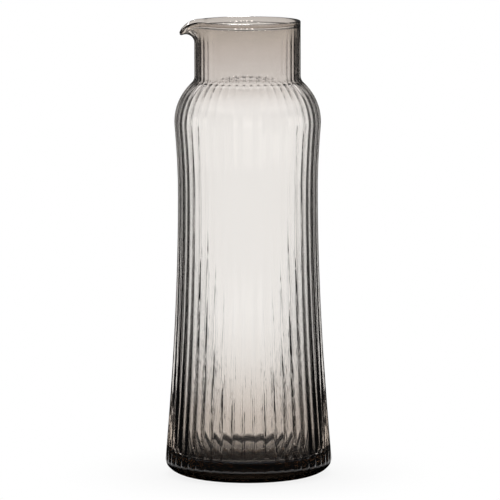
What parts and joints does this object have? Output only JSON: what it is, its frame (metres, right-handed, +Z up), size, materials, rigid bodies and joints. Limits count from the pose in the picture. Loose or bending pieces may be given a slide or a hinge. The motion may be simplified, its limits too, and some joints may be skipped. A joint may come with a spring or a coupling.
{
  "type": "glass carafe",
  "caption": "Tall open carafe of ribbed smoke-grey glass with a thick base, a drawn-in waist, a round shoulder, a straight neck and a pulled pouring lip.",
  "frame": {"origin": "middle of the foot, on the surface that the carafe stands on", "axes": "+Z up along the carafe's axis, -X towards the pouring lip, -Y towards the viewer in the picture"},
  "size_m": [0.0988, 0.0988, 0.2701],
  "materials": {
    "smoked_glass": "clear, fire-polished, warm smoke grey"
  },
  "bodies": {
    "root": {"base": "smoked_glass", "heel": "smoked_glass", "lower_body": "smoked_glass", "upper_body": "smoked_glass", "shoulder": "smoked_glass", "neck": "smoked_glass", "pouring_lip": "smoked_glass"}
  },
  "joints": []
}
